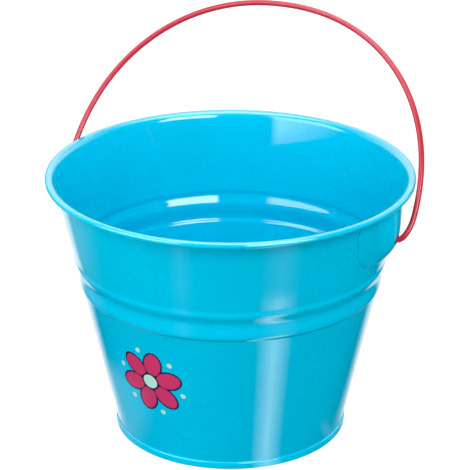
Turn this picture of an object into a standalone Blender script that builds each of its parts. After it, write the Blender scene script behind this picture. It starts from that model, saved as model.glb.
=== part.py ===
"""A child's sheet-metal sand bucket, in metres, standing on z = 0.

A conical wall with a rolled rim, two swaged ridges and a folded foot seam holds a pressed base.
Two domed ears under the rim carry a wire bail, which swings about the X axis through their holes.
"""

import math

import bmesh
import bpy

# Sheet and clearance
SHEET = 0.0004
EAR_SHEET = 0.0005
GAP = 0.0003

# Wall and rolled rim
RIM_RADIUS = 0.0800
RIM_HEIGHT = 0.1177
ROLL_WIDTH = 0.0041
ROLL_HEIGHT = 0.0026
NECK_BEND = 0.0030
CURL_GAP = 0.0005

# Swaged ridges, from the top of the upper one down to the bottom of the lower one
SWAGE_DROP = 0.0354
UPPER_RISE = 0.0024
UPPER_FALL = 0.0042
LOWER_RISE = 0.0069
LOWER_FALL = 0.0016
UPPER_PROUD = 0.0003
VALLEY_DEPTH = 0.00045
LOWER_PROUD = 0.00065

# Foot seam and base
FOOT_RADIUS = 0.0514
FOOT_BAND = 0.0030
FOOT_STEP = 0.0006
FOOT_SHOULDER = 0.0006
HEM_BEND = 0.0004
BASE_RECESS = 0.0023
BASE_BEND = 0.0005
BASE_RING = 0.0085
BASE_STEP_WIDTH = 0.0030
BASE_STEP = 0.0008

# Ears: a dome, open at the bottom, between two flanges that follow the wall
EAR_HEIGHT = 0.0247
EAR_TOP_GAP = 0.0008
EAR_TOP_WIDTH = 0.0592
EAR_LIP_WIDTH = 0.0398
EAR_TOP_CORNER = 0.0070
EAR_LIP_CORNER = 0.0095
DOME_TOP_WIDTH = 0.0328
DOME_LIP_WIDTH = 0.0200
DOME_RISE = 0.0041
DOME_LIP_RISE = 0.0009
DOME_CREST = 0.0084
DOME_FULLNESS = 1.25

# Bail
WIRE = 0.0025
BAIL_HOLE = 0.0042
PIVOT_DROP = 0.0187
BAIL_RISE = 0.0969
BAIL_SHOULDER = 0.0123
BAIL_NECK = 0.0050
BAIL_RIM_CLEARANCE = 0.00055
BAIL_END_CLEARANCE = 0.0010
BAIL_CORNER = 0.0588
BAIL_TILT = math.radians(37.1)

# Facets
TURN_STEPS = 64
BEND_STEPS = 2
ROLL_STEPS = 6
FLANK_STEPS = 3
DOME_COLUMNS = 5
FLANGE_COLUMNS = 2
CORNER_ROWS = 3
EAR_ROWS = 6
HOLE_SIDES = 24
ARCH_STEPS = 48
NECK_STEPS = 8
WIRE_BEVEL = 3
WELD_DISTANCE = 0.00001

# Sizes that follow from the ones above
ROLL_MIDDLE = RIM_HEIGHT - ROLL_HEIGHT / 2
ROLL_UNDERSIDE = RIM_HEIGHT - ROLL_HEIGHT
WALL_TOP_RADIUS = RIM_RADIUS - ROLL_WIDTH
WALL_FOOT_RADIUS = FOOT_RADIUS - FOOT_STEP
TAPER = math.atan2(WALL_TOP_RADIUS - WALL_FOOT_RADIUS, ROLL_MIDDLE - FOOT_BAND)
HALF_WALL = SHEET / 2 / math.cos(TAPER)
FOOT_MIDDLE = FOOT_RADIUS - SHEET / 2
PIVOT_HEIGHT = RIM_HEIGHT - PIVOT_DROP
EAR_TOP = ROLL_UNDERSIDE - EAR_TOP_GAP
EAR_LIP = EAR_TOP - EAR_HEIGHT
BAIL_HALF_WIDTH = RIM_RADIUS + BAIL_RIM_CLEARANCE + WIRE / 2

# Paint: linear colours and gloss
TURQUOISE = (0.0, 0.45, 0.75)
RED = (0.62, 0.03, 0.06)
PAINT_ROUGHNESS = 0.2


def clear_scene():
    for thing in list(bpy.data.objects):
        bpy.data.objects.remove(thing, do_unlink=True)


def new_collection(name):
    collection = bpy.data.collections.new(name)
    bpy.context.scene.collection.children.link(collection)
    return collection


def gloss_paint(name, colour):
    material = bpy.data.materials.new(name)
    material.use_nodes = True
    shader = material.node_tree.nodes["Principled BSDF"]
    shader.inputs["Base Color"].default_value = (*colour, 1.0)
    shader.inputs["Roughness"].default_value = PAINT_ROUGHNESS
    shader.inputs["Metallic"].default_value = 0.0
    return material


# Outlines in the plane of radius and height

def wall_radius(height):
    """Outer radius of the plain cone, without its ridges."""
    return WALL_TOP_RADIUS + (height - ROLL_MIDDLE) * math.tan(TAPER)


def arc(centre, radius, start, end, steps):
    """Points along an arc, from one angle to another, in degrees."""
    angles = (math.radians(start + (end - start) * step / steps) for step in range(steps + 1))
    return [(centre[0] + radius * math.cos(a), centre[1] + radius * math.sin(a)) for a in angles]


def smooth(part):
    """An S-shaped rise from 0 to 1."""
    return part * part * (3 - 2 * part)


def flank(start, end):
    """Points from one point of the wall to a higher one, easing from radius to radius."""
    parts = [step / FLANK_STEPS for step in range(1, FLANK_STEPS + 1)]
    run = end[0] - start[0]
    climb = end[1] - start[1]
    return [(start[0] + run * smooth(part), start[1] + climb * part) for part in parts]


def unit(start, end):
    """Direction from one point to another."""
    length = math.dist(start, end)
    return ((end[0] - start[0]) / length, (end[1] - start[1]) / length)


def side_of(path, distance):
    """The path moved sideways by a distance: to its right when positive."""
    steps = [unit(start, end) for start, end in zip(path, path[1:])]
    moved = []
    for point, arriving, leaving in zip(path, steps[:1] + steps, steps + steps[-1:]):
        along = (arriving[0] + leaving[0], arriving[1] + leaving[1])
        scale = 2 * distance / (along[0] ** 2 + along[1] ** 2)
        moved.append((point[0] + along[1] * scale, point[1] - along[0] * scale))
    return moved


def hem_path():
    """Middle of the sheet, from the hem's inner edge under the base and up the foot band."""
    inner = FOOT_MIDDLE - 2 * SHEET - 2 * GAP
    low = SHEET / 2 + HEM_BEND
    path = [(inner, BASE_RECESS - GAP)]
    path += arc((inner + HEM_BEND, low), HEM_BEND, 180, 270, BEND_STEPS)
    path += arc((FOOT_MIDDLE - HEM_BEND, low), HEM_BEND, 270, 360, BEND_STEPS)
    path.append((FOOT_MIDDLE, FOOT_BAND - FOOT_SHOULDER / 2))
    shoulder_top = FOOT_BAND + FOOT_SHOULDER / 2
    return path + flank(path[-1], (wall_radius(shoulder_top) - HALF_WALL, shoulder_top))


def swage_path():
    """Middle of the sheet over both ridges, from the bottom up."""
    stretches = [
        (LOWER_FALL, LOWER_PROUD),
        (LOWER_RISE, -VALLEY_DEPTH),
        (UPPER_FALL, UPPER_PROUD),
        (UPPER_RISE, 0.0),
    ]
    height = RIM_HEIGHT - SWAGE_DROP - sum(length for length, _ in stretches)
    keys = [(0.0, height)]
    for length, proud in stretches:
        height += length
        keys.append((proud, height))
    offsets = keys[:1]
    for start, end in zip(keys, keys[1:]):
        offsets += flank(start, end)
    return [(wall_radius(height) - HALF_WALL + proud, height) for proud, height in offsets]


def roll_path():
    """Middle of the sheet over the neck, round the roll and back under it to the wall."""
    lean = math.degrees(TAPER)
    neck_middle = RIM_HEIGHT - SHEET / 2 - NECK_BEND
    neck_start = neck_middle + NECK_BEND * math.sin(TAPER)
    neck_radius = wall_radius(neck_start) - HALF_WALL + NECK_BEND * math.cos(TAPER)
    bend = (ROLL_HEIGHT - SHEET) / 2
    path = arc((neck_radius, neck_middle), NECK_BEND, 180 - lean, 90, ROLL_STEPS // 2)
    path += arc((RIM_RADIUS - SHEET / 2 - bend, ROLL_MIDDLE), bend, 90, -90, ROLL_STEPS)
    end = ROLL_UNDERSIDE + SHEET / 2
    path.append((wall_radius(end) + CURL_GAP, end))
    return path


def sheet_outline(path):
    """Closed section of the sheet whose middle follows the path."""
    return side_of(path, SHEET / 2)[::-1] + side_of(path, -SHEET / 2)


def base_path():
    """Middle of the base's sheet, from the edge of its flange up and in to the axis."""
    flange = FOOT_MIDDLE - SHEET - GAP
    panel = BASE_RECESS + SHEET / 2
    step_foot = flange - BASE_RING
    path = [(flange, SHEET + GAP)]
    path += arc((flange - BASE_BEND, panel - BASE_BEND), BASE_BEND, 0, 90, BEND_STEPS)
    path.append((step_foot, panel))
    for step in range(1, FLANK_STEPS + 1):
        part = step / FLANK_STEPS
        path.append((step_foot - BASE_STEP_WIDTH * part, panel + BASE_STEP * smooth(part)))
    path.append((0.0, panel + BASE_STEP))
    return path


def turned_sheet(name, path, material, collection):
    """A turned piece of sheet whose middle follows a path of radii and heights."""
    mesh = bpy.data.meshes.new(name)
    points = [(radius, 0.0, height) for radius, height in sheet_outline(path)]
    edges = [(index, (index + 1) % len(points)) for index in range(len(points))]
    mesh.from_pydata(points, edges, [])
    mesh.materials.append(material)
    piece = bpy.data.objects.new(name, mesh)
    collection.objects.link(piece)
    screw = piece.modifiers.new("turn", "SCREW")
    screw.axis = "Z"
    screw.steps = TURN_STEPS
    screw.render_steps = TURN_STEPS
    screw.use_merge_vertices = True
    screw.merge_threshold = WELD_DISTANCE
    screw.use_smooth_shade = True
    return piece


# Ears

def half_width(lip, top, rise):
    """Half of a width that changes evenly from the ear's lip to its top."""
    return (lip + (top - lip) * rise / EAR_HEIGHT) / 2


def corner_inset(distance, radius):
    """How far a rounded corner draws the side in, at a distance from the edge."""
    short = max(radius - distance, 0.0)
    return radius - math.sqrt(radius ** 2 - short ** 2)


def ear_half_width(rise):
    inset = corner_inset(rise, EAR_LIP_CORNER) + corner_inset(EAR_HEIGHT - rise, EAR_TOP_CORNER)
    return half_width(EAR_LIP_WIDTH, EAR_TOP_WIDTH, rise) - inset


def dome_half_width(rise):
    return half_width(DOME_LIP_WIDTH, DOME_TOP_WIDTH, rise)


def dome_rise(rise):
    """Height of the dome's middle line above the flanges, from its lip over its crest to its top."""
    if rise < DOME_CREST:
        part = math.sin(math.pi / 2 * rise / DOME_CREST)
        return DOME_LIP_RISE + (DOME_RISE - DOME_LIP_RISE) * part
    return DOME_RISE * math.cos(math.pi / 2 * (rise - DOME_CREST) / (EAR_HEIGHT - DOME_CREST))


def ear_rises():
    """Heights of the ear's rows above its lip, closer together round the corners."""
    turn = [1 - math.cos(math.pi / 2 * step / CORNER_ROWS) for step in range(CORNER_ROWS)]
    straight = EAR_HEIGHT - EAR_LIP_CORNER - EAR_TOP_CORNER
    rises = [EAR_LIP_CORNER * part for part in turn]
    rises += [EAR_LIP_CORNER + straight * row / EAR_ROWS for row in range(EAR_ROWS + 1)]
    return rises + [EAR_HEIGHT - EAR_TOP_CORNER * part for part in reversed(turn)]


def ear_point(column, rise):
    """A point on the ear's inner face, which stands one gap off the wall at its flanges."""
    dome_half = dome_half_width(rise)
    steps = abs(column)
    if steps <= DOME_COLUMNS:
        part = steps / DOME_COLUMNS
        across = dome_half * part
        lift = dome_rise(rise) * (1 - part ** 2) ** DOME_FULLNESS
    else:
        part = (steps - DOME_COLUMNS) / FLANGE_COLUMNS
        across = dome_half + (ear_half_width(rise) - dome_half) * part
        lift = 0.0
    height = EAR_LIP + rise
    radius = wall_radius(height) + GAP + lift
    angle = math.copysign(across, column) / wall_radius(height)
    return (radius * math.cos(angle), radius * math.sin(angle), height)


def ear_mesh(material):
    """The ear on the +X side, as an open sheet: a grid bent to the wall and domed."""
    rises = ear_rises()
    half = DOME_COLUMNS + FLANGE_COLUMNS
    rows = len(rises) - 1
    shape = bmesh.new()
    bmesh.ops.create_grid(shape, x_segments=2 * half, y_segments=rows, size=1.0)
    for vertex in shape.verts:
        column = round(vertex.co.x * half)
        row = round((vertex.co.y + 1) / 2 * rows)
        vertex.co = ear_point(column, rises[row])
    mesh = bpy.data.meshes.new("ear")
    shape.to_mesh(mesh)
    shape.free()
    mesh.shade_smooth()
    mesh.materials.append(material)
    return mesh


def hole_cutter(collection):
    """A rod along the bail's axis, through both ears."""
    bpy.ops.mesh.primitive_cylinder_add(
        vertices=HOLE_SIDES,
        radius=BAIL_HOLE / 2,
        depth=2 * BAIL_HALF_WIDTH,
        location=(0.0, 0.0, PIVOT_HEIGHT),
        rotation=(0.0, math.pi / 2, 0.0),
    )
    cutter = bpy.context.object
    cutter.name = "bail_hole_cutter"
    cutter.hide_render = True
    cutter.display_type = "WIRE"
    for owner in list(cutter.users_collection):
        owner.objects.unlink(cutter)
    collection.objects.link(cutter)
    return cutter


def ear(name, mesh, turn, cutter, collection):
    piece = bpy.data.objects.new(name, mesh)
    piece.rotation_euler.z = turn
    collection.objects.link(piece)
    thicken = piece.modifiers.new("sheet", "SOLIDIFY")
    thicken.thickness = EAR_SHEET
    thicken.offset = 1.0
    thicken.use_even_offset = True
    cut = piece.modifiers.new("bail_hole", "BOOLEAN")
    cut.operation = "DIFFERENCE"
    cut.object = cutter
    return piece


# Bail

def bail_half():
    """Middle of the wire from one end, through the ear, round the neck and up to the top."""
    neck = BAIL_HALF_WIDTH - BAIL_NECK
    points = [(wall_radius(PIVOT_HEIGHT) + BAIL_END_CLEARANCE, 0.0)]
    for step in range(NECK_STEPS):
        angle = math.pi / 2 * step / NECK_STEPS
        across = neck + BAIL_NECK * math.sin(angle)
        points.append((across, BAIL_SHOULDER * (1 - math.cos(angle))))
    arch = BAIL_RISE - BAIL_SHOULDER
    power = 2 * math.log2(BAIL_HALF_WIDTH / BAIL_CORNER)
    for step in range(ARCH_STEPS // 2 + 1):
        angle = math.pi / 2 * step / (ARCH_STEPS // 2)
        across = BAIL_HALF_WIDTH * max(math.cos(angle), 0.0) ** power
        points.append((across, BAIL_SHOULDER + arch * math.sin(angle) ** power))
    points[-1] = (0.0, BAIL_RISE)
    return points


def bail(material, collection):
    """The wire in its own plane, with its origin on the pivot axis, tilted towards +Y."""
    right = bail_half()
    left = [(-across, rise) for across, rise in reversed(right[:-1])]
    points = right + left
    curve = bpy.data.curves.new("bail", "CURVE")
    curve.dimensions = "3D"
    curve.bevel_depth = WIRE / 2
    curve.bevel_resolution = WIRE_BEVEL
    curve.use_fill_caps = True
    spline = curve.splines.new("POLY")
    spline.points.add(len(points) - 1)
    for target, (across, rise) in zip(spline.points, points):
        target.co = (across, 0.0, rise, 1.0)
    spline.use_smooth = True
    curve.materials.append(material)
    piece = bpy.data.objects.new("bail", curve)
    piece.location.z = PIVOT_HEIGHT
    piece.rotation_euler.x = -BAIL_TILT
    collection.objects.link(piece)
    return piece


def main():
    clear_scene()
    parts = new_collection("sand_bucket")
    cutters = new_collection("cutters")
    wall_path = hem_path() + swage_path() + roll_path()
    turned_sheet("wall", wall_path, gloss_paint("wall_paint", TURQUOISE), parts)
    turned_sheet("base", base_path(), gloss_paint("base_paint", TURQUOISE), parts)
    cutter = hole_cutter(cutters)
    mesh = ear_mesh(gloss_paint("ear_paint", TURQUOISE))
    ear("ear_right", mesh, 0.0, cutter, parts)
    ear("ear_left", mesh, math.pi, cutter, parts)
    bail(gloss_paint("bail_paint", RED), parts)


main()
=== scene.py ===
"""Looks of a child's painted metal sand bucket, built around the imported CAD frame, in metres."""

import math

import bmesh
import bpy
from mathutils import Matrix, Vector


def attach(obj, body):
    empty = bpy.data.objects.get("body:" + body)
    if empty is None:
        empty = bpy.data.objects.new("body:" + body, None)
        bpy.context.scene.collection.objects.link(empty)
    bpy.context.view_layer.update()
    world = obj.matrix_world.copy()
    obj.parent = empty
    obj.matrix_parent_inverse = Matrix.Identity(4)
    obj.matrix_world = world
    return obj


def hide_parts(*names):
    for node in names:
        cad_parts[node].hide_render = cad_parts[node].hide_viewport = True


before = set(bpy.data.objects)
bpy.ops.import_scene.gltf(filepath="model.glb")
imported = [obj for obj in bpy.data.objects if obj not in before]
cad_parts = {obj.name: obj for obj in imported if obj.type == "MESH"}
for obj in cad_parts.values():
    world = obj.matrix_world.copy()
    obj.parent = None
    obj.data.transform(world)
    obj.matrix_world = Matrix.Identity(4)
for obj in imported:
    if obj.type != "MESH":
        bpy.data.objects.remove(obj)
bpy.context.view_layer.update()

# The sizes from here down to the bail are those of the part's source

# Sheet, and the gap between pieces
SHEET = 0.0004
EAR_SHEET = 0.0005
GAP = 0.0003

# Wall and rolled rim
RIM_RADIUS = 0.0800
RIM_HEIGHT = 0.1177
ROLL_WIDTH = 0.0041
ROLL_HEIGHT = 0.0026
NECK_BEND = 0.0030
CURL_GAP = 0.0005

# Swaged ridges, from the top of the upper one down to the bottom of the lower one
SWAGE_DROP = 0.0354
UPPER_RISE = 0.0024
UPPER_FALL = 0.0042
LOWER_RISE = 0.0069
LOWER_FALL = 0.0016
UPPER_PROUD = 0.0003
VALLEY_DEPTH = 0.00045
LOWER_PROUD = 0.00065

# Foot seam and base
FOOT_RADIUS = 0.0514
FOOT_BAND = 0.0030
FOOT_STEP = 0.0006
FOOT_SHOULDER = 0.0006
HEM_BEND = 0.0004
BASE_RECESS = 0.0023
BASE_BEND = 0.0005
BASE_RING = 0.0085
BASE_STEP_WIDTH = 0.0030
BASE_STEP = 0.0008

# Ears: a dome, open at the bottom, between two flanges that follow the wall
EAR_HEIGHT = 0.0247
EAR_TOP_GAP = 0.0008
EAR_TOP_WIDTH = 0.0592
EAR_LIP_WIDTH = 0.0398
EAR_TOP_CORNER = 0.0070
EAR_LIP_CORNER = 0.0095
DOME_TOP_WIDTH = 0.0328
DOME_LIP_WIDTH = 0.0200
DOME_RISE = 0.0041
DOME_LIP_RISE = 0.0009
DOME_CREST = 0.0084
DOME_FULLNESS = 1.25

# Bail
WIRE = 0.0025
BAIL_HOLE = 0.0042
PIVOT_DROP = 0.0187
BAIL_RISE = 0.0969
BAIL_SHOULDER = 0.0123
BAIL_NECK = 0.0050
BAIL_RIM_CLEARANCE = 0.00055
BAIL_END_CLEARANCE = 0.0010
BAIL_CORNER = 0.0588
BAIL_TILT = math.radians(37.1)

# Fine form that the solids leave out: a waist above the ridges, and ears that lie tight on the
# wall, with thin side edges and the marks of spot welds
WAIST_RISE = 0.0070
WAIST_DEPTH = 0.00010
EAR_SEAT = 0.00005
EDGE_SHEET = 0.00015
EDGE_FEATHER = 0.0020
EDGE_ROUND = 0.00006
WELD_DEPTH = 0.00016
WELD_RADIUS = 0.0017
WELD_RISES = (0.0085, 0.0185)

# Printed flower, in layers of ink on one another. The lowest one lies just off the paint
PRINT_AZIMUTH = math.radians(-101)
PRINT_HEIGHT = 0.0410
PRINT_TURN = math.radians(15)
PETALS = 6
PETAL_PLACE = 0.0096
PETAL_LENGTH = 0.0118
PETAL_WIDTH = 0.0082
INK_LINE = 0.0008
EYE_RADIUS = 0.0035
DOT_PLACE = 0.0158
DOT_RADIUS = 0.0012
INK = 0.00002

# Sizes that follow
ROLL_MIDDLE = RIM_HEIGHT - ROLL_HEIGHT / 2
ROLL_UNDERSIDE = RIM_HEIGHT - ROLL_HEIGHT
WALL_TOP_RADIUS = RIM_RADIUS - ROLL_WIDTH
WALL_FOOT_RADIUS = FOOT_RADIUS - FOOT_STEP
TAPER = math.atan2(WALL_TOP_RADIUS - WALL_FOOT_RADIUS, ROLL_MIDDLE - FOOT_BAND)
HALF_WALL = SHEET / 2 / math.cos(TAPER)
FOOT_MIDDLE = FOOT_RADIUS - SHEET / 2
PIVOT_HEIGHT = RIM_HEIGHT - PIVOT_DROP
EAR_TOP = ROLL_UNDERSIDE - EAR_TOP_GAP
EAR_LIP = EAR_TOP - EAR_HEIGHT
BAIL_HALF_WIDTH = RIM_RADIUS + BAIL_RIM_CLEARANCE + WIRE / 2

# Fineness of the meshes
TURN_STEPS = 256
BEND_STEPS = 8
ROLL_STEPS = 24
FLANK_STEPS = 12
DOME_COLUMNS = 24
FLANGE_COLUMNS = 20
CORNER_ROWS = 10
EAR_ROWS = 30
EDGE_STEPS = 2
HOLE_SIDES = 64
ARCH_STEPS = 192
NECK_STEPS = 24
WIRE_SIDES = 24
INK_RINGS = 8
ROUND_STEPS = 48
GROUND_STEPS = 240

# Length of the tool that cuts the bail's hole, distance within which points merge, and bends above
# which an edge is shaded sharp or, on the ears, rounded
CUTTER_LENGTH = 0.04
MERGE_DISTANCE = 0.000001
SHARP_BEND = math.radians(50)
EAR_SHARP_BEND = math.radians(40)
EDGE_ROUND_BEND = math.radians(60)

# Paint and ink: each colour, and the slightly darker shade that clouds it
TURQUOISE = (0.0, 0.52, 0.772)
TURQUOISE_SHADE = (0.0, 0.495, 0.738)
RED = (0.50, 0.030, 0.052)
RED_SHADE = (0.46, 0.026, 0.046)
NAVY = (0.012, 0.016, 0.060)
NAVY_SHADE = (0.009, 0.012, 0.050)
MAGENTA = (0.57, 0.040, 0.145)
MAGENTA_SHADE = (0.52, 0.034, 0.130)
MINT = (0.46, 0.76, 0.66)
MINT_SHADE = (0.42, 0.72, 0.62)

# Gloss, clouds and ripple of the paint
ROUGHNESS = 0.22
WIRE_ROUGHNESS = 0.25
COAT = 1.0
WIRE_COAT = 0.5
COAT_ROUGHNESS = 0.03
COAT_IOR = 1.6
CLOUD_SCALE = 35.0
CLOUD_DETAIL = 4.0
CLOUD_SPAN = (0.3, 0.7)
GLOSS_CHANGE = 0.15
RIPPLE_SCALE = 420.0
RIPPLE_DETAIL = 1.0
RIPPLE_STRENGTH = 0.05
RIPPLE_DEPTH = 0.0002

# Camera
VIEW_TURN = math.radians(24)
SENSOR = 36.0
LENS = 166.75
LENS_SHIFT = 0.0099
CAMERA_PLACE = (0.3558, -0.7992, 0.4594)
CAMERA_PITCH = math.radians(66.99)
CLIP_START = 0.05
CLIP_END = 50.0

# Azimuths of the main view's back and front, in degrees from its right
BACK = 90
FRONT = -90

# Sky. In reflections it is pale at the back, above a low line
SKY = 0.18
MIRROR_BACK = 2.2
MIRROR_SPAN = (0.1, 0.7)
SKY_SPAN = (0.12, 0.32)

# A ray with a lower glossy depth than this was mirrored at most once
FIRST_REFLECTION = 1.5

# Floor, just below the foot. Its paleness grows to full white across FLOOR_FADE
FLOOR_WIDTH = 6.0
FLOOR_DROP = 0.0002
FLOOR_GREY = 0.30
FLOOR_SHADE = 0.35
FLOOR_WHITE = 0.80
FLOOR_FADE = (0.7, 1.4)

# Painted pools of light on the floor, wedges that glow only in first reflections: how far in front
# of the axis each one starts, its azimuth, the angles to either side where its fading starts and
# ends, then a distance and a strength near the bucket, and both further away. The one at the back
# fades in across FLOOR_LINE
FLOOR_LINE = (-0.025, -0.005)
FLOOR_BACK_POOL = (0.087, BACK, 31.5, 38.5, 1.0, 1.05, 3.0, 1.05)
FLOOR_LIGHT_POOLS = [
    (0.0285, -53, 0.0, 15.0, 0.132, 3.20, 0.150, 0.40),
    (0.0, -120, 0.0, 8.0, 0.125, 0.00, 0.150, 0.25),
    (0.0, 150, 7.0, 30.0, 0.140, 0.00, 0.185, 0.32),
    (0.0, 188, 18.0, 32.0, 0.080, 0.33, 0.093, 0.00),
    (0.0, -26, 1.0, 5.5, 0.058, 0.22, 0.064, 0.00),
]

# How far the softboxes and the upright lights stand from what they face
STUDIO_RADIUS = 1.0

# Softboxes as the gloss shows them: name, azimuth, width, bottom, top, radiance and soft edge
PANELS = [
    ("right_panel", -59.5, 0.80, 0.30, 1.40, 9.3, 0.06),
    ("left_panel", -147.5, 1.12, 0.16, 1.40, 4.8, 0.12),
]
TOP_PANEL_ELEVATION = 82
TOP_PANEL_WIDTH = 1.2
TOP_PANEL_LENGTH = 1.25
TOP_PANEL_RADIANCE = 6.8
TOP_PANEL_SOFT = 0.35

# Lights for the paint's own colour: name, azimuth, width, bottom, top and radiance
LIGHTS = [
    ("right_low", -54, 0.9, 0.0, 0.32, 1.13),
    ("right_mid", -56, 0.9, 0.32, 0.80, 0.93),
    ("right_high", -58, 0.9, 0.80, 1.40, 8.66),
    ("left_low", -143, 1.1, 0.0, 0.32, 4.53),
    ("left_mid", -145, 1.1, 0.32, 0.80, 1.62),
    ("left_high", -147, 1.1, 0.80, 1.40, 3.81),
    ("right_side", 2, 0.8, 0.0, 0.32, 4.50),
    ("left_side", 178, 0.8, 0.0, 0.32, 0.90),
    ("back_low", BACK, 1.0, 0.0, 0.30, 6.5),
]
TOP_LIGHT_HEIGHT = 1.2
TOP_LIGHT_WIDTH = 1.0
TOP_LIGHT_RADIANCE = 1.6


# Outlines in the plane of radius and height

def wall_radius(height):
    return WALL_TOP_RADIUS + (height - ROLL_MIDDLE) * math.tan(TAPER)


def arc(centre, radius, start, end, steps):
    angles = (math.radians(start + (end - start) * step / steps) for step in range(steps + 1))
    return [(centre[0] + radius * math.cos(a), centre[1] + radius * math.sin(a)) for a in angles]


def smooth(part):
    return part * part * (3 - 2 * part)


def between(start, end, part):
    return (start[0] + (end[0] - start[0]) * part, start[1] + (end[1] - start[1]) * part)


def flank(start, end):
    """The points after the start of a smooth step from one point to another."""
    parts = [step / FLANK_STEPS for step in range(1, FLANK_STEPS + 1)]
    run = end[0] - start[0]
    climb = end[1] - start[1]
    return [(start[0] + run * smooth(part), start[1] + climb * part) for part in parts]


def unit(start, end):
    length = math.dist(start, end)
    return ((end[0] - start[0]) / length, (end[1] - start[1]) / length)


def side_of(path, distance):
    """The path moved sideways by a distance: to its right when positive."""
    steps = [unit(start, end) for start, end in zip(path, path[1:])]
    moved = []
    for point, arriving, leaving in zip(path, steps[:1] + steps, steps + steps[-1:]):
        onward = (arriving[0] + leaving[0], arriving[1] + leaving[1])
        scale = 2 * distance / (onward[0] ** 2 + onward[1] ** 2)
        moved.append((point[0] + onward[1] * scale, point[1] - onward[0] * scale))
    return moved


def hem_path():
    inner = FOOT_MIDDLE - 2 * SHEET - 2 * GAP
    low = SHEET / 2 + HEM_BEND
    path = [(inner, BASE_RECESS - GAP)]
    path += arc((inner + HEM_BEND, low), HEM_BEND, 180, 270, BEND_STEPS)
    path += arc((FOOT_MIDDLE - HEM_BEND, low), HEM_BEND, 270, 360, BEND_STEPS)
    path.append((FOOT_MIDDLE, FOOT_BAND - FOOT_SHOULDER / 2))
    shoulder_top = FOOT_BAND + FOOT_SHOULDER / 2
    return path + flank(path[-1], (wall_radius(shoulder_top) - HALF_WALL, shoulder_top))


def swage_path():
    stretches = [
        (LOWER_FALL, LOWER_PROUD),
        (LOWER_RISE, -VALLEY_DEPTH),
        (UPPER_FALL, UPPER_PROUD),
        (UPPER_RISE, -WAIST_DEPTH),
        (WAIST_RISE, 0.0),
    ]
    height = RIM_HEIGHT - SWAGE_DROP + WAIST_RISE - sum(length for length, _ in stretches)
    keys = [(0.0, height)]
    for length, proud in stretches:
        height += length
        keys.append((proud, height))
    offsets = keys[:1]
    for start, end in zip(keys, keys[1:]):
        offsets += flank(start, end)
    return [(wall_radius(height) - HALF_WALL + proud, height) for proud, height in offsets]


def roll_path():
    lean = math.degrees(TAPER)
    neck_middle = RIM_HEIGHT - SHEET / 2 - NECK_BEND
    neck_start = neck_middle + NECK_BEND * math.sin(TAPER)
    neck_radius = wall_radius(neck_start) - HALF_WALL + NECK_BEND * math.cos(TAPER)
    bend = (ROLL_HEIGHT - SHEET) / 2
    path = arc((neck_radius, neck_middle), NECK_BEND, 180 - lean, 90, ROLL_STEPS // 2)
    path += arc((RIM_RADIUS - SHEET / 2 - bend, ROLL_MIDDLE), bend, 90, -90, ROLL_STEPS)
    end = ROLL_UNDERSIDE + SHEET / 2
    path.append((wall_radius(end) + CURL_GAP, end))
    return path


def base_path():
    flange = FOOT_MIDDLE - SHEET - GAP
    panel_height = BASE_RECESS + SHEET / 2
    step_foot = flange - BASE_RING
    path = [(flange, SHEET + GAP)]
    path += arc((flange - BASE_BEND, panel_height - BASE_BEND), BASE_BEND, 0, 90, BEND_STEPS)
    path.append((step_foot, panel_height))
    for step in range(1, FLANK_STEPS + 1):
        part = step / FLANK_STEPS
        path.append((step_foot - BASE_STEP_WIDTH * part, panel_height + BASE_STEP * smooth(part)))
    path.append((0.0, panel_height + BASE_STEP))
    return path


# Meshes and pieces

def mesh_of(shape, name):
    mesh = bpy.data.meshes.new(name)
    shape.to_mesh(mesh)
    shape.free()
    return mesh


def smoothed(mesh, sharp_bend=SHARP_BEND):
    mesh.shade_smooth()
    mesh.set_sharp_from_angle(angle=sharp_bend)
    return mesh


def add_object(name, data):
    thing = bpy.data.objects.new(name, data)
    bpy.context.scene.collection.objects.link(thing)
    return thing


def add_piece(name, mesh, material, body, node=None):
    """A piece on its body, which stands for a CAD node or lies on one."""
    mesh.materials.append(material)
    piece = add_object(name, mesh)
    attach(piece, body)
    if node:
        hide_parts(node)


def bridge(shape, near, far):
    """Faces between two rings of vertices."""
    for index in range(len(near)):
        after = (index + 1) % len(near)
        shape.faces.new((near[index], near[after], far[after], far[index]))


def turned_mesh(name, path):
    """A turned sheet whose middle follows the path, closed all round."""
    outline = side_of(path, SHEET / 2)[::-1] + side_of(path, -SHEET / 2)
    shape = bmesh.new()
    verts = [shape.verts.new((radius, 0.0, height)) for radius, height in outline]
    edges = [shape.edges.new((a, b)) for a, b in zip(verts, verts[1:] + verts[:1])]
    bmesh.ops.spin(
        shape,
        geom=verts + edges,
        axis=(0.0, 0.0, 1.0),
        cent=(0.0, 0.0, 0.0),
        angle=math.tau,
        steps=TURN_STEPS,
        use_merge=True,
    )
    bmesh.ops.remove_doubles(shape, verts=shape.verts, dist=MERGE_DISTANCE)
    bmesh.ops.recalc_face_normals(shape, faces=shape.faces)
    return smoothed(mesh_of(shape, name))


# Ears

def half_width(lip, top, rise):
    return (lip + (top - lip) * rise / EAR_HEIGHT) / 2


def corner_inset(distance, radius):
    """How far a round corner draws an edge in, at a distance from the corner's end."""
    short = max(radius - distance, 0.0)
    return radius - math.sqrt(radius ** 2 - short ** 2)


def ear_half_width(rise):
    inset = corner_inset(rise, EAR_LIP_CORNER) + corner_inset(EAR_HEIGHT - rise, EAR_TOP_CORNER)
    return half_width(EAR_LIP_WIDTH, EAR_TOP_WIDTH, rise) - inset


def dome_half_width(rise):
    return half_width(DOME_LIP_WIDTH, DOME_TOP_WIDTH, rise)


def dome_rise(rise):
    """How far the dome's crest line stands out, by the height above the lip."""
    if rise < DOME_CREST:
        part = math.sin(math.pi / 2 * rise / DOME_CREST)
        return DOME_LIP_RISE + (DOME_RISE - DOME_LIP_RISE) * part
    return DOME_RISE * math.cos(math.pi / 2 * (rise - DOME_CREST) / (EAR_HEIGHT - DOME_CREST))


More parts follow.
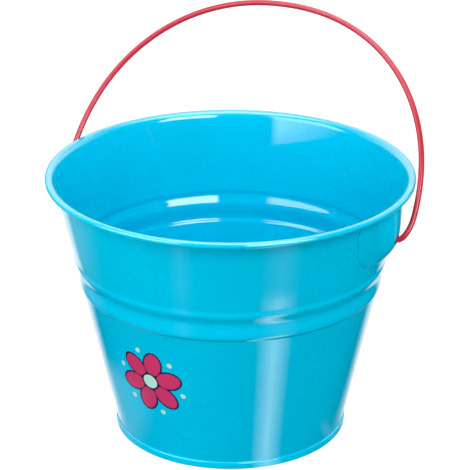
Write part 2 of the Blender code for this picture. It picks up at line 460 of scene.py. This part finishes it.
def weld_dip(across, rise):
    """How far the marks of the spot welds draw a flange in."""
    dip = 0.0
    for place in WELD_RISES:
        middle = (dome_half_width(place) + ear_half_width(place)) / 2
        part = math.hypot(across - middle, rise - place) / WELD_RADIUS
        dip += WELD_DEPTH * max(1 - part ** 2, 0.0) ** 2
    return dip


def ear_rises():
    """Heights of the ear's rows above its lip, closer together where the corners turn."""
    turn = [1 - math.cos(math.pi / 2 * step / CORNER_ROWS) for step in range(CORNER_ROWS)]
    straight = EAR_HEIGHT - EAR_LIP_CORNER - EAR_TOP_CORNER
    rises = [EAR_LIP_CORNER * part for part in turn]
    rises += [EAR_LIP_CORNER + straight * row / EAR_ROWS for row in range(EAR_ROWS + 1)]
    return rises + [EAR_HEIGHT - EAR_TOP_CORNER * part for part in reversed(turn)]


def ear_point(column, rise):
    """A point on the inner face of the ear on the +X side."""
    dome_half = dome_half_width(rise)
    steps = abs(column)
    if steps <= DOME_COLUMNS:
        part = steps / DOME_COLUMNS
        across = dome_half * part
        lift = (dome_rise(rise) + GAP - EAR_SEAT) * (1 - part ** 2) ** DOME_FULLNESS
    else:
        part = (steps - DOME_COLUMNS) / FLANGE_COLUMNS
        across = dome_half + (ear_half_width(rise) - dome_half) * part
        lift = -weld_dip(across, rise)
    height = EAR_LIP + rise
    radius = wall_radius(height) + EAR_SEAT + lift
    angle = math.copysign(across, column) / wall_radius(height)
    return (radius * math.cos(angle), radius * math.sin(angle), height)


def ear_sheet():
    rises = ear_rises()
    half = DOME_COLUMNS + FLANGE_COLUMNS
    rows = len(rises) - 1
    shape = bmesh.new()
    bmesh.ops.create_grid(shape, x_segments=2 * half, y_segments=rows, size=1.0)
    for vertex in shape.verts:
        column = round(vertex.co.x * half)
        row = round((vertex.co.y + 1) / 2 * rows)
        vertex.co = ear_point(column, rises[row])
    return mesh_of(shape, "ear_sheet")


def sheet_share(place):
    """Share of the ear's sheet thickness at a place: the flanges thin out to their side edges."""
    across = abs(math.atan2(place.y, place.x)) * wall_radius(place.z)
    rise = min(max(place.z - EAR_LIP, 0.0), EAR_HEIGHT)
    part = min(max((ear_half_width(rise) - across) / EDGE_FEATHER, 0.0), 1.0)
    return (EDGE_SHEET + (EAR_SHEET - EDGE_SHEET) * part) / EAR_SHEET


def hole_cutter():
    shape = bmesh.new()
    turn = Matrix.Rotation(math.pi / 2, 4, "Y")
    bmesh.ops.create_cone(
        shape,
        cap_ends=True,
        segments=HOLE_SIDES,
        radius1=BAIL_HOLE / 2,
        radius2=BAIL_HOLE / 2,
        depth=CUTTER_LENGTH,
        matrix=Matrix.Translation((RIM_RADIUS, 0.0, PIVOT_HEIGHT)) @ turn,
    )
    return add_object("cutter", mesh_of(shape, "cutter"))


def applied(piece):
    """The mesh of an object with its modifiers applied; the object itself is removed."""
    bpy.context.view_layer.update()
    depsgraph = bpy.context.evaluated_depsgraph_get()
    mesh = bpy.data.meshes.new_from_object(piece.evaluated_get(depsgraph))
    bpy.data.objects.remove(piece, do_unlink=True)
    return mesh


def ear_mesh():
    """The pressed ear on the +X side, with thin side edges, rounded rims and its bail hole."""
    piece = add_object("ear_work", ear_sheet())
    shares = piece.vertex_groups.new(name="sheet_share")
    for vertex in piece.data.vertices:
        shares.add([vertex.index], sheet_share(vertex.co), "REPLACE")
    thicken = piece.modifiers.new("sheet", "SOLIDIFY")
    thicken.thickness = EAR_SHEET
    thicken.offset = 1.0
    thicken.use_even_offset = True
    thicken.vertex_group = shares.name
    soften = piece.modifiers.new("edges", "BEVEL")
    soften.width = EDGE_ROUND
    soften.segments = EDGE_STEPS
    soften.limit_method = "ANGLE"
    soften.angle_limit = EDGE_ROUND_BEND
    cutter = hole_cutter()
    cut = piece.modifiers.new("hole", "BOOLEAN")
    cut.operation = "DIFFERENCE"
    cut.object = cutter
    mesh = applied(piece)
    bpy.data.objects.remove(cutter, do_unlink=True)
    return smoothed(mesh, EAR_SHARP_BEND)


# Bail

def bail_half():
    """The bail's line from its right end to its top: place across and height above the pivot."""
    neck = BAIL_HALF_WIDTH - BAIL_NECK
    points = [(wall_radius(PIVOT_HEIGHT) + BAIL_END_CLEARANCE, 0.0)]
    for step in range(NECK_STEPS):
        angle = math.pi / 2 * step / NECK_STEPS
        points.append((neck + BAIL_NECK * math.sin(angle), BAIL_SHOULDER * (1 - math.cos(angle))))
    arch = BAIL_RISE - BAIL_SHOULDER
    power = 2 * math.log2(BAIL_HALF_WIDTH / BAIL_CORNER)
    for step in range(ARCH_STEPS // 2 + 1):
        angle = math.pi / 2 * step / (ARCH_STEPS // 2)
        across = BAIL_HALF_WIDTH * max(math.cos(angle), 0.0) ** power
        points.append((across, BAIL_SHOULDER + arch * math.sin(angle) ** power))
    points[-1] = (0.0, BAIL_RISE)
    return points


def wire_ring(shape, point, onward):
    """A ring of vertices round a point of the bail's line, square to the way onward."""
    side = Vector((onward.z, 0.0, -onward.x))
    centre = Vector((point[0], 0.0, point[1]))
    ring = []
    for index in range(WIRE_SIDES):
        angle = math.tau * index / WIRE_SIDES
        outward = side * math.cos(angle) + Vector((0.0, 1.0, 0.0)) * math.sin(angle)
        ring.append(shape.verts.new(centre + outward * WIRE / 2))
    return ring


def bail_mesh():
    """A round wire along the bail's line, in its own tilted plane."""
    right = bail_half()
    line = right + [(-across, rise) for across, rise in reversed(right[:-1])]
    steps = [unit(start, end) for start, end in zip(line, line[1:])]
    shape = bmesh.new()
    rings = []
    for point, arriving, leaving in zip(line, steps[:1] + steps, steps + steps[-1:]):
        onward = Vector((arriving[0] + leaving[0], 0.0, arriving[1] + leaving[1])).normalized()
        rings.append(wire_ring(shape, point, onward))
    for near, far in zip(rings, rings[1:]):
        bridge(shape, near, far)
    shape.faces.new(rings[0])
    shape.faces.new(rings[-1])
    bmesh.ops.recalc_face_normals(shape, faces=shape.faces)
    mesh = mesh_of(shape, "bail_wire")
    tilt = Matrix.Rotation(-BAIL_TILT, 4, "X")
    mesh.transform(Matrix.Translation((0.0, 0.0, PIVOT_HEIGHT)) @ tilt)
    return smoothed(mesh)


# Printed flower, as thin islands of ink on the wall

def on_wall(across, up, off):
    """A point of the print, by its place on the unrolled wall and its height above the paint."""
    height = PRINT_HEIGHT + up * math.cos(TAPER)
    radius = wall_radius(height) + off / math.cos(TAPER)
    angle = PRINT_AZIMUTH + across / wall_radius(height)
    return (radius * math.cos(angle), radius * math.sin(angle), height)


def add_island(shape, centre, edge, low, high):
    """A thin closed island of ink inside an edge, in rings about its centre."""
    rims = []
    for off in (low, high):
        middle = shape.verts.new(on_wall(*centre, off))
        rings = []
        for ring in range(1, INK_RINGS + 1):
            places = [between(centre, point, ring / INK_RINGS) for point in edge]
            rings.append([shape.verts.new(on_wall(*place, off)) for place in places])
        for first, second in zip(rings[0], rings[0][1:] + rings[0][:1]):
            shape.faces.new((middle, second, first))
        for inner, outer in zip(rings, rings[1:]):
            bridge(shape, inner, outer)
        rims.append(rings[-1])
    bridge(shape, *rims)


def ink_mesh(name, islands):
    shape = bmesh.new()
    for centre, edge, low, high in islands:
        add_island(shape, centre, edge, low, high)
    bmesh.ops.recalc_face_normals(shape, faces=shape.faces)
    return smoothed(mesh_of(shape, name))


def round_edge(centre, radius):
    angles = [math.tau * step / ROUND_STEPS for step in range(ROUND_STEPS)]
    return [(centre[0] + radius * math.cos(a), centre[1] + radius * math.sin(a)) for a in angles]


def petal_edge(turn):
    points = []
    for step in range(ROUND_STEPS):
        angle = math.tau * step / ROUND_STEPS
        out = PETAL_PLACE + PETAL_LENGTH / 2 * math.cos(angle)
        side = PETAL_WIDTH / 2 * math.sin(angle)
        points.append((
            out * math.cos(turn) - side * math.sin(turn),
            out * math.sin(turn) + side * math.cos(turn),
        ))
    return points


def flower_reach(angle):
    """How far the dark ground round the petals reaches from the flower's centre."""
    spread = math.tau / PETALS
    angle = (angle + spread / 2) % spread - spread / 2
    long = (PETAL_LENGTH / 2 + INK_LINE) ** 2
    wide = (PETAL_WIDTH / 2 + INK_LINE) ** 2
    square = math.cos(angle) ** 2 / long + math.sin(angle) ** 2 / wide
    half = PETAL_PLACE * math.cos(angle) / long
    return (half + math.sqrt(half ** 2 - square * (PETAL_PLACE ** 2 / long - 1))) / square


def flower_turns(share):
    """The petals' directions, moved on by a share of the space between two of them."""
    return [PRINT_TURN + math.tau * (index + share) / PETALS for index in range(PETALS)]


def ground_islands():
    edge = []
    for step in range(GROUND_STEPS):
        angle = math.tau * step / GROUND_STEPS
        reach = flower_reach(angle)
        edge.append((reach * math.cos(angle + PRINT_TURN), reach * math.sin(angle + PRINT_TURN)))
    middle = (0.0, 0.0)
    ring = (middle, round_edge(middle, EYE_RADIUS + INK_LINE), 2 * INK, 3 * INK)
    return [(middle, edge, INK / 2, INK), ring]


def petal_islands():
    islands = []
    for turn in flower_turns(0):
        centre = (PETAL_PLACE * math.cos(turn), PETAL_PLACE * math.sin(turn))
        islands.append((centre, petal_edge(turn), INK, 2 * INK))
    return islands


def eye_islands():
    middle = (0.0, 0.0)
    islands = [(middle, round_edge(middle, EYE_RADIUS), 3 * INK, 4 * INK)]
    for turn in flower_turns(0.5):
        centre = (DOT_PLACE * math.cos(turn), DOT_PLACE * math.sin(turn))
        islands.append((centre, round_edge(centre, DOT_RADIUS), INK / 2, INK))
    return islands


# Nodes

def mapped(tree, value, low, high, start, end):
    """A value carried evenly from one span to another, and held at its ends."""
    node = tree.nodes.new("ShaderNodeMapRange")
    node.inputs["From Min"].default_value = low
    node.inputs["From Max"].default_value = high
    node.inputs["To Min"].default_value = start
    node.inputs["To Max"].default_value = end
    tree.links.new(value, node.inputs["Value"])
    return node.outputs["Result"]


def operated(tree, kind, operation, given):
    """A node of one operation. What it is given is another node's output or a plain value."""
    node = tree.nodes.new(kind)
    node.operation = operation
    for socket, value in zip(node.inputs, given):
        if isinstance(value, bpy.types.NodeSocket):
            tree.links.new(value, socket)
        else:
            socket.default_value = value
    return node.outputs


def worked(tree, operation, *given):
    return operated(tree, "ShaderNodeMath", operation, given)["Value"]


def along(tree, vector, direction):
    """How far a place or a direction lies along a direction."""
    return operated(tree, "ShaderNodeVectorMath", "DOT_PRODUCT", (vector, direction))["Value"]


def axis_distance(tree, spot):
    """How far a place on the floor lies from the bucket's axis."""
    return operated(tree, "ShaderNodeVectorMath", "LENGTH", (spot,))["Value"]


def mixed(tree, share, first, second):
    node = tree.nodes.new("ShaderNodeMixShader")
    tree.links.new(share, node.inputs["Fac"])
    tree.links.new(first, node.inputs[1])
    tree.links.new(second, node.inputs[2])
    return node.outputs["Shader"]


def first_reflection(tree, path):
    """1 for a ray that was mirrored at most once, and 0 for one that was mirrored more often."""
    return worked(tree, "LESS_THAN", path.outputs["Glossy Depth"], FIRST_REFLECTION)


def noise(tree, place, scale, detail):
    node = tree.nodes.new("ShaderNodeTexNoise")
    node.inputs["Scale"].default_value = scale
    node.inputs["Detail"].default_value = detail
    tree.links.new(place, node.inputs["Vector"])
    return node.outputs["Fac"]


def empty_material(name):
    material = bpy.data.materials.new(name)
    material.use_nodes = True
    material.node_tree.nodes.clear()
    return material, material.node_tree


# Paint

def enamel(name, colour, shade, roughness=ROUGHNESS, coat=COAT):
    """Gloss enamel: slight changes of colour and gloss, and the fine ripple of sprayed paint."""
    material = bpy.data.materials.new(name)
    material.use_nodes = True
    tree = material.node_tree
    shader = tree.nodes["Principled BSDF"]
    shader.inputs["Coat Weight"].default_value = coat
    shader.inputs["Coat Roughness"].default_value = COAT_ROUGHNESS
    shader.inputs["Coat IOR"].default_value = COAT_IOR
    shader.inputs["Specular IOR Level"].default_value = 0.0
    place = tree.nodes.new("ShaderNodeTexCoord").outputs["Object"]
    cloud = noise(tree, place, CLOUD_SCALE, CLOUD_DETAIL)
    tint = tree.nodes.new("ShaderNodeValToRGB")
    for element, position, tone in zip(tint.color_ramp.elements, CLOUD_SPAN, (shade, colour)):
        element.position = position
        element.color = (*tone, 1.0)
    tree.links.new(cloud, tint.inputs["Fac"])
    tree.links.new(tint.outputs["Color"], shader.inputs["Base Color"])
    smoothest = roughness * (1 - GLOSS_CHANGE)
    roughest = roughness * (1 + GLOSS_CHANGE)
    gloss = mapped(tree, cloud, *CLOUD_SPAN, smoothest, roughest)
    tree.links.new(gloss, shader.inputs["Roughness"])
    bump = tree.nodes.new("ShaderNodeBump")
    bump.inputs["Strength"].default_value = RIPPLE_STRENGTH
    bump.inputs["Distance"].default_value = RIPPLE_DEPTH
    tree.links.new(noise(tree, place, RIPPLE_SCALE, RIPPLE_DETAIL), bump.inputs["Height"])
    tree.links.new(bump.outputs["Normal"], shader.inputs["Normal"])
    tree.links.new(bump.outputs["Normal"], shader.inputs["Coat Normal"])
    return material


# Camera, sky and floor

def towards(azimuth, elevation):
    """A direction. Azimuth counts from the right of the main view, so its camera is at FRONT."""
    around = math.radians(azimuth) + VIEW_TURN
    up = math.radians(elevation)
    return Vector((math.cos(up) * math.cos(around), math.cos(up) * math.sin(around), math.sin(up)))


def add_camera():
    data = bpy.data.cameras.new("camera")
    data.sensor_width = SENSOR
    data.lens = LENS
    data.shift_x = LENS_SHIFT
    data.clip_start = CLIP_START
    data.clip_end = CLIP_END
    thing = add_object("camera", data)
    thing.location = CAMERA_PLACE
    thing.rotation_euler = (CAMERA_PITCH, 0.0, VIEW_TURN)
    bpy.context.scene.camera = thing


def add_sky():
    """White to the camera, soft for the paint, and pale at the back in first reflections."""
    world = bpy.data.worlds.new("studio")
    bpy.context.scene.world = world
    world.use_nodes = True
    tree = world.node_tree
    tree.nodes.clear()
    path = tree.nodes.new("ShaderNodeLightPath")
    way = tree.nodes.new("ShaderNodeTexCoord").outputs["Generated"]
    seen, soft, mirrored = (tree.nodes.new("ShaderNodeBackground") for _ in range(3))
    for node in (seen, soft, mirrored):
        node.inputs["Color"].default_value = (1.0, 1.0, 1.0, 1.0)
    soft.inputs["Strength"].default_value = SKY
    back = mapped(tree, along(tree, way, towards(BACK, 0)), *MIRROR_SPAN, 0.0, MIRROR_BACK)
    above = mapped(tree, along(tree, way, (0.0, 0.0, 1.0)), *SKY_SPAN, 0.0, 1.0)
    strength = worked(tree, "MULTIPLY", back, above)
    strength = worked(tree, "MULTIPLY", strength, first_reflection(tree, path))
    tree.links.new(strength, mirrored.inputs["Strength"])
    gloss = mixed(tree, path.outputs["Is Glossy Ray"], soft.outputs[0], mirrored.outputs[0])
    view = mixed(tree, path.outputs["Is Camera Ray"], gloss, seen.outputs[0])
    tree.links.new(view, tree.nodes.new("ShaderNodeOutputWorld").inputs["Surface"])


def light_pool(tree, spot, start, azimuth, core, spread, near, near_strength, far, far_strength):
    """A painted pool of light on the floor, in reflections, whose strength changes with the
    distance from the axis.
    """
    tip = towards(FRONT, 0) * start
    from_start = operated(tree, "ShaderNodeVectorMath", "SUBTRACT", (spot, tip))["Vector"]
    across = along(tree, from_start, towards(azimuth + 90, 0))
    ahead = along(tree, from_start, towards(azimuth, 0))
    angle = worked(tree, "ABSOLUTE", worked(tree, "ARCTAN2", across, ahead))
    share = mapped(tree, angle, math.radians(core), math.radians(spread), 1.0, 0.0)
    strength = mapped(tree, axis_distance(tree, spot), near, far, near_strength, far_strength)
    return worked(tree, "MULTIPLY", share, strength)


def floor_material():
    """Pale to the camera, grey to the paint's light, with painted pools of light in first
    reflections.
    """
    material, tree = empty_material("pale_floor")
    path = tree.nodes.new("ShaderNodeLightPath")
    spot = tree.nodes.new("ShaderNodeTexCoord").outputs["Object"]
    grey, shaded = (tree.nodes.new("ShaderNodeBsdfDiffuse") for _ in range(2))
    grey.inputs["Color"].default_value = (FLOOR_GREY, FLOOR_GREY, FLOOR_GREY, 1.0)
    shaded.inputs["Color"].default_value = (FLOOR_SHADE, FLOOR_SHADE, FLOOR_SHADE, 1.0)
    pale, glow = (tree.nodes.new("ShaderNodeEmission") for _ in range(2))
    whiteness = mapped(tree, axis_distance(tree, spot), *FLOOR_FADE, FLOOR_WHITE, 1.0)
    tree.links.new(whiteness, pale.inputs["Strength"])
    lit = tree.nodes.new("ShaderNodeAddShader")
    tree.links.new(shaded.outputs[0], lit.inputs[0])
    tree.links.new(pale.outputs[0], lit.inputs[1])
    behind = mapped(tree, along(tree, spot, towards(BACK, 0)), *FLOOR_LINE, 0.0, 1.0)
    strength = worked(tree, "MULTIPLY", light_pool(tree, spot, *FLOOR_BACK_POOL), behind)
    for values in FLOOR_LIGHT_POOLS:
        strength = worked(tree, "ADD", strength, light_pool(tree, spot, *values))
    strength = worked(tree, "MULTIPLY", strength, first_reflection(tree, path))
    tree.links.new(strength, glow.inputs["Strength"])
    gloss = mixed(tree, path.outputs["Is Glossy Ray"], grey.outputs[0], glow.outputs[0])
    view = mixed(tree, path.outputs["Is Camera Ray"], gloss, lit.outputs[0])
    tree.links.new(view, tree.nodes.new("ShaderNodeOutputMaterial").inputs["Surface"])
    return material


def flat_mesh(name, width, height):
    shape = bmesh.new()
    stretch = Matrix.Diagonal((width, height, 1.0, 1.0))
    bmesh.ops.create_grid(shape, x_segments=1, y_segments=1, size=0.5, matrix=stretch)
    return mesh_of(shape, name)


def add_floor():
    mesh = flat_mesh("floor", FLOOR_WIDTH, FLOOR_WIDTH)
    mesh.materials.append(floor_material())
    thing = add_object("floor", mesh)
    thing.location.z = -FLOOR_DROP


# Lights and softboxes

def upright(azimuth, bottom, top):
    """Place of an upright thing round the bucket, and the point of the axis that it faces."""
    aim = Vector((0.0, 0.0, (bottom + top) / 2))
    return aim + towards(azimuth, 0) * STUDIO_RADIUS, aim


def face(thing, place, aim):
    thing.location = place
    thing.rotation_euler = (place - aim).to_track_quat("Z", "Y").to_euler()


def add_light(name, place, aim, width, height, radiance):
    """A flat light for the paint's own colour. It doesn't show in reflections."""
    data = bpy.data.lights.new(name, "AREA")
    data.shape = "RECTANGLE"
    data.size = width
    data.size_y = height
    data.energy = radiance * math.pi * width * height
    thing = add_object(name, data)
    thing.visible_camera = False
    thing.visible_glossy = False
    face(thing, place, aim)


def panel_material(name, width, height, radiance, soft):
    """A bright panel that fades towards its edges and shows in first reflections."""
    material, tree = empty_material(name)
    split = tree.nodes.new("ShaderNodeSeparateXYZ")
    tree.links.new(tree.nodes.new("ShaderNodeTexCoord").outputs["Object"], split.inputs[0])
    strength = first_reflection(tree, tree.nodes.new("ShaderNodeLightPath"))
    for axis, half, full in (("X", width / 2, radiance), ("Y", height / 2, 1.0)):
        off_middle = worked(tree, "ABSOLUTE", split.outputs[axis])
        fade = mapped(tree, off_middle, half - soft, half, full, 0.0)
        strength = worked(tree, "MULTIPLY", strength, fade)
    glow = tree.nodes.new("ShaderNodeEmission")
    tree.links.new(strength, glow.inputs["Strength"])
    tree.links.new(glow.outputs[0], tree.nodes.new("ShaderNodeOutputMaterial").inputs["Surface"])
    return material


def add_panel(name, place, aim, width, height, radiance, soft):
    """A softbox as the gloss shows it."""
    mesh = flat_mesh(name, width, height)
    mesh.materials.append(panel_material(name, width, height, radiance, soft))
    thing = add_object(name, mesh)
    thing.visible_camera = False
    thing.visible_diffuse = False
    thing.visible_shadow = False
    face(thing, place, aim)


def add_studio():
    for name, azimuth, width, bottom, top, radiance, soft in PANELS:
        add_panel(name, *upright(azimuth, bottom, top), width, top - bottom, radiance, soft)
    for name, azimuth, width, bottom, top, radiance in LIGHTS:
        add_light(name, *upright(azimuth, bottom, top), width, top - bottom, radiance)
    rim = Vector((0.0, 0.0, RIM_HEIGHT))
    above = rim + Vector((0.0, 0.0, TOP_LIGHT_HEIGHT))
    add_light("top", above, rim, TOP_LIGHT_WIDTH, TOP_LIGHT_WIDTH, TOP_LIGHT_RADIANCE)
    add_panel(
        "top_panel",
        rim + towards(BACK, TOP_PANEL_ELEVATION) * STUDIO_RADIUS,
        rim,
        TOP_PANEL_WIDTH,
        TOP_PANEL_LENGTH,
        TOP_PANEL_RADIANCE,
        TOP_PANEL_SOFT,
    )


# The object and its studio

def add_bucket():
    turquoise = enamel("turquoise_enamel", TURQUOISE, TURQUOISE_SHADE)
    wall_line = hem_path() + swage_path() + roll_path()
    pressing = ear_mesh()
    turned_pressing = pressing.copy()
    turned_pressing.transform(Matrix.Rotation(math.pi, 4, "Z"))
    pieces = [
        ("wall_sheet", turned_mesh("wall_sheet", wall_line), "wall"),
        ("base_disc", turned_mesh("base_disc", base_path()), "base"),
        ("ear_right_pressing", pressing, "ear_right"),
        ("ear_left_pressing", turned_pressing, "ear_left"),
    ]
    for name, mesh, node in pieces:
        add_piece(name, mesh, turquoise, "bucket", node)


def add_bail():
    red = enamel("red_enamel", RED, RED_SHADE, WIRE_ROUGHNESS, WIRE_COAT)
    add_piece("bail_wire", bail_mesh(), red, "handle", "bail")


def add_flower():
    inks = [
        ("flower_ground", ground_islands(), enamel("navy_ink", NAVY, NAVY_SHADE)),
        ("flower_petals", petal_islands(), enamel("magenta_ink", MAGENTA, MAGENTA_SHADE)),
        ("flower_eye", eye_islands(), enamel("mint_ink", MINT, MINT_SHADE)),
    ]
    for name, islands, ink in inks:
        add_piece(name, ink_mesh(name, islands), ink, "bucket")


add_bucket()
add_bail()
add_flower()
add_camera()
add_sky()
add_floor()
add_studio()

bpy.context.scene.view_settings.view_transform = "Standard"
